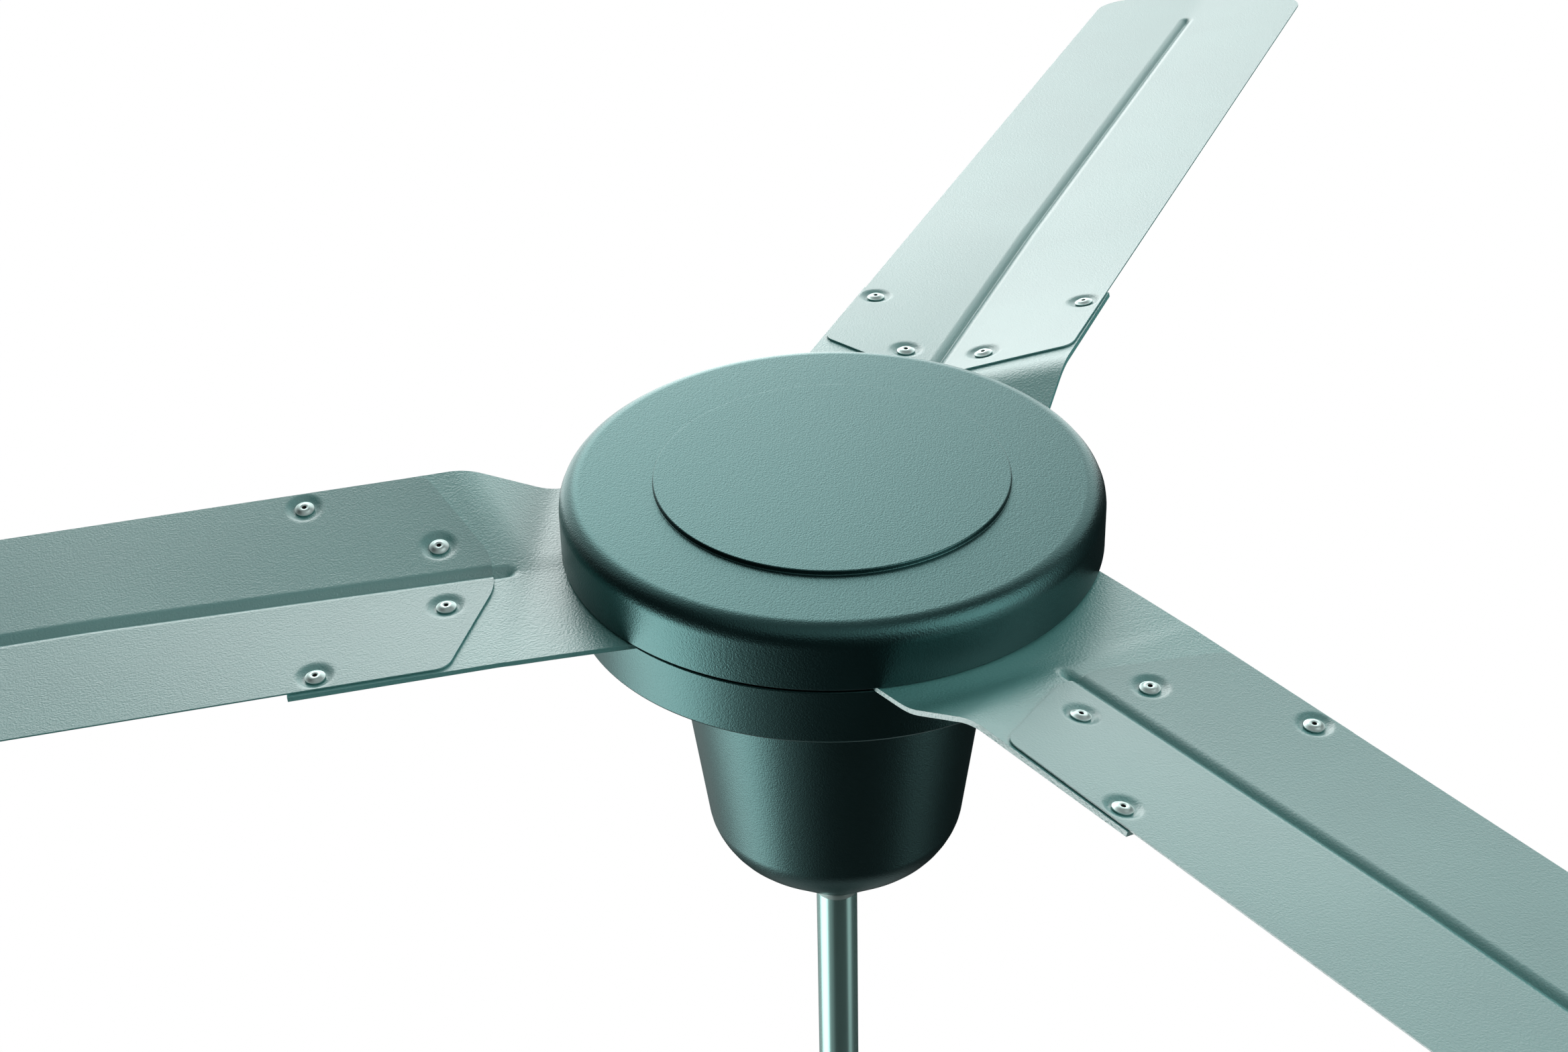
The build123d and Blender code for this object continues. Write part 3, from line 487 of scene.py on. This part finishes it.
def pressed_piece(name, lengths, widths, locate, thickness):
    """A grid shaped by locate(u, v) on its lower face and thickened upward."""
    leave_selection()
    row = len(lengths)
    bpy.ops.mesh.primitive_grid_add(x_subdivisions=row - 1, y_subdivisions=len(widths) - 1, size=1)
    piece = bpy.context.object
    piece.name = name
    for index, vertex in enumerate(piece.data.vertices):
        vertex.co = locate(lengths[index % row], widths[index // row])
    apply_modifier(piece, "SOLIDIFY", thickness=thickness, offset=1.0, use_even_offset=True)
    choose(piece)
    bpy.ops.object.mode_set(mode="EDIT")
    bpy.ops.mesh.select_all(action="SELECT")
    bpy.ops.mesh.normals_make_consistent(inside=False)
    bpy.ops.object.mode_set(mode="OBJECT")
    apply_modifier(piece, "BEVEL", width=thickness * edge_share, segments=3, limit_method="ANGLE",
                   angle_limit=math.radians(60))
    return piece


def root_edge(y):
    """How far out the blade starts, across it: blunt nose, straight chamfers, round corners."""
    stretch = math.sqrt(1 + root_slope ** 2)
    centre_y = blade_half - root_corner
    centre_x = blade_root + root_slope * (centre_y - root_flat) + root_corner * stretch
    if abs(y) > centre_y + root_corner * root_slope / stretch:
        return centre_x - math.sqrt(max(0.0, root_corner ** 2 - (abs(y) - centre_y) ** 2))
    return blade_root + root_slope * soft_high(abs(y) - root_flat, 0.0, root_softness)


def tip_edge(y):
    """How far out the blade ends, across it: square, with round corners."""
    inside = abs(y) - (blade_half - tip_corner)
    if inside <= 0:
        return blade_tip
    return blade_tip - tip_corner + math.sqrt(max(0.0, tip_corner ** 2 - inside ** 2))


def make_blade():
    """Long pressed sheet with a V section, a stiffening groove and four rivet dimples.

    Along it, u runs from 0 to 1 near the root, to 2 along the plain length and to 3 near the tip."""
    fine_end = 275 * mm
    coarse_end = 735 * mm
    root_steps, middle_steps, tip_steps = 85, 40, 34
    lengths = stations((0, 1, 1 / root_steps), (1, 2, 1 / middle_steps), (2, 3, 1 / tip_steps))
    shoulder = root_edge(blade_half)

    def locate(u, v):
        start = root_edge(v)
        if u < 1:
            x = start + (fine_end - start) * u
        elif u < 2:
            x = fine_end + (coarse_end - fine_end) * (u - 1)
        else:
            x = coarse_end + (tip_edge(v) - coarse_end) * (u - 2)
        widen = 1.0
        if v > 0 and x > shoulder:
            widen += blade_flare / blade_half * (x - shoulder) / (blade_tip - shoulder)
        side = v * widen
        pressed = groove_lift(x, side, hub_station, groove_end, 0.0) + dimple_lift(x, side, 0.0)
        return Vector((x, side - blade_sideways, panel_height(x, side) + pressed))

    return pressed_piece("blade", lengths, across_stations(blade_half), locate, blade_thickness)


def arm_fold():
    """The fold line's start and direction in plan, and the slope of the sheet beyond it."""
    stack = blade_thickness + arm_gap
    level = seam + arm_level
    slope = (crease_height(root_station + mm) - crease_height(root_station)) / mm
    crease_x = root_station + (level - crease_height(root_station) - stack) / slope
    inside = Vector((fold_start, arm_half - blade_sideways))
    centre = Vector((crease_x, -blade_sideways))
    along = (centre - inside).normalized()
    outward = Vector((-along.y, along.x))
    if outward.x < 0:
        outward = -outward
    far = Vector((fold_end, arm_half - blade_sideways))
    drop = level - panel_height(fold_end, arm_half) - stack
    return inside, outward, drop / (far - inside).dot(outward)


def make_arm():
    """Folded arm: level at the hub, bent down to the pitch of the blade beyond a slanting fold."""
    inside, outward, slope = arm_fold()
    stack = blade_thickness + arm_gap
    level = seam + arm_level
    inner = bowl_radius + arm_bowl_gap
    groove_start = blade_root - arm_groove_lead
    past_end = arm_end + blade_tip
    fold_share, fold_steps, flat_steps = 0.45, 34, 80
    lengths = stations((0, fold_share, fold_share / fold_steps),
                       (fold_share, 1, (1 - fold_share) / flat_steps))

    def locate(u, v):
        y = v - blade_sideways
        start = math.sqrt(inner ** 2 - y ** 2)
        x = start + (arm_end - start) * u
        panel = panel_height(x, v) + stack
        past_fold = (Vector((x, y)) - inside).dot(outward)
        hub = soft_low(level, level - slope * past_fold, fold_softness)
        base = soft_high(panel, hub, bend_softness)
        pressed = groove_lift(x, v, groove_start, past_end, stack) + dimple_lift(x, v, stack)
        return Vector((x, y, base + pressed))

    return pressed_piece("arm", lengths, across_stations(arm_half), locate, arm_thickness)


def make_rivet():
    """Blind rivet: domed head with the hollow left by its mandrel, shank and formed tail, along -Z."""
    head, shank, bore = 4.75 * mm, 2.4 * mm, 1.15 * mm
    seat = 0.45 * mm
    rim = seat + 0.5 * mm
    top = seat + 1.7 * mm
    tail = -4.0 * mm
    hollow = [(0.02 * mm, rim), (0.8 * mm, rim), (bore, top - 0.3 * mm)]
    dome = [(1.75 * mm, top - 0.02 * mm), (2.5 * mm, top - 0.08 * mm), (3.3 * mm, top - 0.42 * mm),
            (4.0 * mm, seat + 0.75 * mm), (head, rim), (head, seat)]
    stem = [(shank, seat), (shank, tail), (3.5 * mm, tail - 0.8 * mm), (3.2 * mm, tail - 3.2 * mm),
            (0.6 * mm, tail - 3.6 * mm)]
    piece = turned("rivet", hollow + dome + stem, steps=32)
    clad(piece, rivet_metal)
    piece.data.materials.append(bore_shade)
    # The faces of the mandrel hollow take the near-black painted shade.
    for face in piece.data.polygons:
        middle = face.center
        if middle.z > seat and middle.xy.length < bore:
            face.material_index = 1
    smooth(piece, angle=40)
    return piece


def rivet_seat(x, off_crease):
    """Matrix that stands a rivet on the floor of its dimple, square to the sheet."""
    step = mm
    side = step if off_crease > 0 else -step
    here = Vector((x, off_crease - blade_sideways, panel_height(x, off_crease)))
    out = Vector((x + step, off_crease - blade_sideways, panel_height(x + step, off_crease)))
    over = Vector((x, off_crease + side - blade_sideways, panel_height(x, off_crease + side)))
    normal = (out - here).cross(over - here).normalized()
    if normal.z > 0:
        normal = -normal
    floor = here - normal * dimple_depth
    return Matrix.Translation(floor) @ normal.to_track_quat("Z", "Y").to_matrix().to_4x4()


def make_blades_and_arms():
    """Model one blade, arm and rivet, and copy them round the hub."""
    blade, arm, rivet = make_blade(), make_arm(), make_rivet()
    clad(blade, blade_enamel)
    clad(arm, arm_enamel)
    smooth(blade, angle=40)
    smooth(arm, angle=40)
    rivets = []
    for number, turn in enumerate(blade_turns(), start=1):
        one_blade = copy_turned(blade, f"pressed_blade_{number}", turn)
        hand_over(one_blade, "rotor", "blade_enamel", f"blade_{number}")
        one_arm = copy_turned(arm, f"folded_arm_{number}", turn)
        hand_over(one_arm, "rotor", "arm_enamel", f"blade_arm_{number}")
        for out, side in rivet_spots:
            for sign in (-1, 1):
                rivets.append(copy_turned(rivet, "rivet", turn @ rivet_seat(out, sign * side)))
    for spare in (blade, arm, rivet):
        bpy.data.objects.remove(spare)
    rivets = joined("blind_rivets", rivets)
    hand_over(rivets, "rotor", "rivet_zinc", "blade_rivets")


# Turned housings

def make_cover():
    """Bottom cover: round dish with a soft edge and a raised, bare medallion."""
    face = seam - cover_depth
    inner = cover_radius - cover_wall
    raised = face - medallion_rise
    corners = [(medallion_radius, raised), (medallion_radius, face), (cover_radius, face),
               (cover_radius, seam), (inner, seam), (inner, face + cover_wall)]
    rounds = [(medallion_radius, raised, medallion_round), (medallion_radius, face, medallion_foot),
              (cover_radius, face, cover_edge_radius), (cover_radius, seam, cover_rim_round),
              (inner, face + cover_wall, cover_inner_radius)]
    piece = turned("round_cover", corners, steps=160, rounds=rounds)
    clad(piece, cover_plastic)
    smooth(piece)
    hand_over(piece, "rotor", "cover_plastic", "bottom_cover")


def cut_notches(piece):
    """Slots in the ring's rim where the arms pass out."""
    half = arm_half + notch_clearance
    low = seam - notch_clearance
    high = seam + arm_level + arm_thickness + notch_clearance / 2
    inner, outer = notch_inner_radius, notch_outer_radius
    cutters = []
    for turn in blade_turns():
        leave_selection()
        bpy.ops.mesh.primitive_cube_add(size=1)
        cutter = bpy.context.object
        size = Matrix.Diagonal((outer - inner, 2 * half, high - low, 1))
        middle = Matrix.Translation(((inner + outer) / 2, -blade_sideways, (low + high) / 2))
        cutter.data.transform(turn @ middle @ size)
        cutters.append(cutter)
    slots = joined("notch_cutters", cutters)
    apply_modifier(piece, "BOOLEAN", object=slots, operation="DIFFERENCE", solver="EXACT")
    bpy.data.objects.remove(slots)


def make_shell():
    """Upper motor shell: tapered ring with a rolled lip, flat top, inner wall and bearing boss."""
    top = seam + shell_height
    rim = seam + seam_gap
    under = top - shell_wall
    boss_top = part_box("motor_shell_upper")[1].z
    boss_low = boss_top - boss_height
    cap = boss_top - boss_cap
    bowl_low = seam + bowl_rim_height
    bowl_inner = bowl_radius - bowl_wall
    corners = [(shaft_hole, boss_top), (boss_radius, boss_top), (boss_radius, top),
               (shell_top_radius, top), (shell_rim_radius, rim), (shell_rim_radius - shell_wall, rim),
               (shell_top_radius - shell_wall, under), (bowl_radius, under), (bowl_radius, bowl_low),
               (bowl_inner, bowl_low), (bowl_inner, under), (boss_radius, under),
               (boss_radius, boss_low), (bearing_radius, boss_low), (bearing_radius, cap),
               (shaft_hole, cap)]
    rounds = [(shell_top_radius, top, shell_top_round), (shell_rim_radius, rim, shell_rim_round)]
    piece = turned("motor_ring", corners, hollow=True, steps=160, rounds=rounds)
    cut_notches(piece)
    clad(piece, shell_plastic)
    smooth(piece)
    hand_over(piece, "rotor", "shell_enamel", "motor_shell_upper")


def make_cup(name, base, flip):
    """Canopy cup with its mouth at a base height. Its neck points up, or down where flip is set."""
    sign = -1 if flip else 1
    lean = math.atan2(cup_mouth_radius - cup_shoulder_radius, cup_shoulder_height)
    cone = math.atan2(cup_shoulder_radius - cup_neck_radius, cup_height - cup_shoulder_height)
    reach = math.tan((cone - lean) / 2)
    neck = base + sign * cup_height
    under_neck = base + sign * (cup_height - cup_wall)
    shoulder = (cup_shoulder_radius, base + sign * cup_shoulder_height)
    inner_shoulder = (cup_shoulder_radius - cup_wall,
                      base + sign * (cup_shoulder_height - cup_inner_drop))
    corners = [(cup_mouth_radius, base), shoulder, (cup_neck_radius, neck), (collar_hole, neck),
               (collar_hole, under_neck), (cup_neck_radius, under_neck), inner_shoulder,
               (cup_mouth_radius - cup_wall, base)]
    rounds = [(*shoulder, reach * cup_shoulder_fillet),
              (*inner_shoulder, reach * (cup_shoulder_fillet - cup_wall)),
              (cup_mouth_radius, base, cup_rim_round), (cup_neck_radius, neck, cup_neck_round)]
    piece = turned(name, corners, hollow=True, rounds=rounds)
    clad(piece, shell_plastic)
    smooth(piece)
    return piece


def make_cups():
    """The cup over the motor's wiring, and the one at the ceiling, which hangs mouth up."""
    lower = make_cup("motor_cup", seam + shell_height + cup_motor_gap, flip=False)
    hand_over(lower, "hanger", "canopy_plastic", "lower_canopy")
    upper = make_cup("ceiling_cup", -ceiling_gap, flip=True)
    hand_over(upper, "hanger", "canopy_plastic", "upper_canopy")


def make_rod():
    """Bright steel tube between the ceiling and the motor."""
    low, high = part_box("down_rod")
    outer, inner = high.x, high.x - rod_wall
    corners = [(outer, low.z), (outer, high.z), (inner, high.z), (inner, low.z)]
    piece = turned("steel_rod", corners, hollow=True, steps=64)
    clad(piece, rod_steel)
    smooth(piece)
    hand_over(piece, "hanger", "rod_steel", "down_rod")


def dress_nodes():
    """Finishes of the frame's own solids."""
    finishes = {
        "bracket_zinc": zinc_steel, "bolt_zinc": zinc_steel, "rivet_zinc": rivet_metal,
        "terminal_plastic": terminal_plastic, "bush_rubber": bush_rubber, "rod_steel": rod_steel,
        "collar_steel": collar_steel, "canopy_plastic": shell_plastic, "cover_plastic": cover_plastic,
        "shell_enamel": shell_plastic, "casting_aluminium": casting_metal, "coupler_steel": collar_steel,
        "capacitor_plastic": capacitor_plastic, "core_steel": core_steel, "rotor_aluminium": casting_metal,
        "coil_copper": copper_winding, "clip_steel": spring_steel, "bearing_steel": bearing_steel,
        "arm_enamel": arm_enamel, "blade_enamel": blade_enamel,
    }
    for subpart in frame["record"]["subparts"]:
        node = frame["nodes"][subpart["node"]]
        for material_slot in node.material_slots:
            material_slot.material = finishes[subpart["material_slot"]]


# Studio

def turned_over():
    """Matrix from the photograph's upright frame, cover uppermost, to the hanging frame."""
    return Matrix.Translation((0, 0, seam)) @ Matrix.Rotation(math.pi, 4, "X")


def bearing(across, height):
    """Direction in the hanging frame, from degrees up and degrees clockwise from behind the fan."""
    a, e = math.radians(across), math.radians(height)
    upright = Vector((math.sin(a) * math.cos(e), math.cos(a) * math.cos(e), math.sin(e)))
    return turned_over().to_3x3() @ upright


# Softboxes of the studio: name, degrees across, degrees up, half spread in degrees, light.
# Across and up are as the photograph shows the fan, turned over.
softboxes = [
    ("low_left", -98, -32, 29, 3.5),
    ("low_front_left", -130, -40, 26, 0.3),
    ("behind_left", -22, 0, 30, 2.2),
    ("behind_right", 8, 0, 26, 2.7),
    ("high_left", -45, 30, 28, 0.4),
    ("high_middle", -12, 30, 20, 3.0),
    ("high_right", 30, 30, 24, 1.15),
    ("upper", -20, 60, 36, 0.3),
    ("right_level", 115, 0, 32, 0.7),
    ("right_high", 115, 35, 32, 1.8),
    ("right_low", 108, -32, 17, 0.9),
    ("front_high", 180, 62, 36, 0.35),
    ("ceiling_side", 0, -82, 30, 0.38),
]
backdrop = ("backdrop", -45, -22, 34, 0.5)
studio_fill = 0.012
full_share = 0.45


def lit_part(world, where, box):
    """How much of one softbox is met in a direction, from none at its rim to all at its middle."""
    name, across, height, spread, light = box
    toward = add(world, "ShaderNodeVectorMath", {0: where, 1: bearing(across, height)},
                 operation="DOT_PRODUCT")
    panel = add(world, "ShaderNodeMapRange", {
        "Value": toward.outputs["Value"], "From Min": math.cos(math.radians(spread)),
        "From Max": math.cos(math.radians(spread * full_share)), "To Max": light},
        interpolation_type="SMOOTHSTEP", name=name)
    return panel.outputs["Result"]


def studio_world():
    """Softboxes and a faint fill, with a backdrop that only gloss shows and white for the camera."""
    world = bpy.data.worlds.new("studio")
    world.use_nodes = True
    world.node_tree.nodes.clear()
    where = add(world, "ShaderNodeTexCoord").outputs["Generated"]
    rays = add(world, "ShaderNodeLightPath").outputs
    total = add(world, "ShaderNodeMath", {0: lit_part(world, where, backdrop), 1: rays["Is Glossy Ray"]},
                operation="MULTIPLY").outputs["Value"]
    total = add(world, "ShaderNodeMath", {0: total, 1: studio_fill}).outputs["Value"]
    for box in softboxes:
        total = add(world, "ShaderNodeMath", {0: total, 1: lit_part(world, where, box)}).outputs["Value"]
    lit = add(world, "ShaderNodeBackground", {"Color": linear("fcfffe"), "Strength": total})
    white = add(world, "ShaderNodeBackground", {"Color": (1, 1, 1, 1)})
    seen = add(world, "ShaderNodeMath", {0: rays["Is Camera Ray"], 1: rays["Is Transmission Ray"]},
               operation="MAXIMUM")
    mix = add(world, "ShaderNodeMixShader", {"Fac": seen.outputs["Value"]})
    world.node_tree.links.new(lit.outputs[0], mix.inputs[1])
    world.node_tree.links.new(white.outputs[0], mix.inputs[2])
    add(world, "ShaderNodeOutputWorld", {"Surface": mix.outputs[0]})
    bpy.context.scene.world = world


def studio_floor():
    """Pale floor under the fan, clear when it is seen from below."""
    floor_height, floor_size, floor_glow = -2.6, 40, 0.56
    leave_selection()
    bpy.ops.mesh.primitive_plane_add(size=floor_size, location=(0, 0, floor_height))
    floor = bpy.context.object
    floor.name = "studio_floor"
    bpy.ops.object.transform_apply(location=True, rotation=True, scale=True)
    material = finish_named("matt_floor")
    side = add(material, "ShaderNodeNewGeometry")
    rays = add(material, "ShaderNodeLightPath").outputs
    pale = add(material, "ShaderNodeBsdfDiffuse", {"Color": linear("eef1f1")})
    glow = add(material, "ShaderNodeMath", {0: rays["Is Camera Ray"], 1: floor_glow},
               operation="MULTIPLY")
    bright = add(material, "ShaderNodeEmission", {"Strength": glow.outputs["Value"]})
    lifted = add(material, "ShaderNodeAddShader", {0: pale.outputs[0], 1: bright.outputs[0]})
    clear = add(material, "ShaderNodeBsdfTransparent")
    mix = add(material, "ShaderNodeMixShader", {"Fac": side.outputs["Backfacing"]})
    material.node_tree.links.new(lifted.outputs[0], mix.inputs[1])
    material.node_tree.links.new(clear.outputs[0], mix.inputs[2])
    surface(material, mix)
    clad(floor, material)
    floor.visible_shadow = floor.visible_diffuse = False
    floor.visible_glossy = floor.visible_transmission = False


def photo_camera():
    """Camera at the photograph's place: 32.4 degrees over the cover's plane, 1.33 m from the hub."""
    back, up = 1121.3 * mm, 714.9 * mm
    yaw, tilt, roll = -1.186, 32.37, -1.341
    sensor, photo_width, focal_pixels = 36.0, 2337, 4126.9
    data = bpy.data.cameras.new("photo_camera")
    data.sensor_width = sensor
    data.lens = focal_pixels * sensor / photo_width
    data.clip_start, data.clip_end = 0.05, 100
    camera = bpy.data.objects.new("photo_camera", data)
    bpy.context.collection.objects.link(camera)
    turn = Matrix.Rotation(-math.radians(yaw), 4, "Z")
    turn = turn @ Matrix.Rotation(math.radians(90 - tilt), 4, "X")
    turn = turn @ Matrix.Rotation(math.radians(roll), 4, "Z")
    camera.matrix_world = turned_over() @ Matrix.Translation((0, -back, up)) @ turn
    bpy.context.scene.camera = camera


dress_nodes()
make_blades_and_arms()
make_cover()
make_shell()
make_cups()
make_rod()
studio_world()
studio_floor()
photo_camera()
bpy.context.scene.view_settings.view_transform = "Standard"
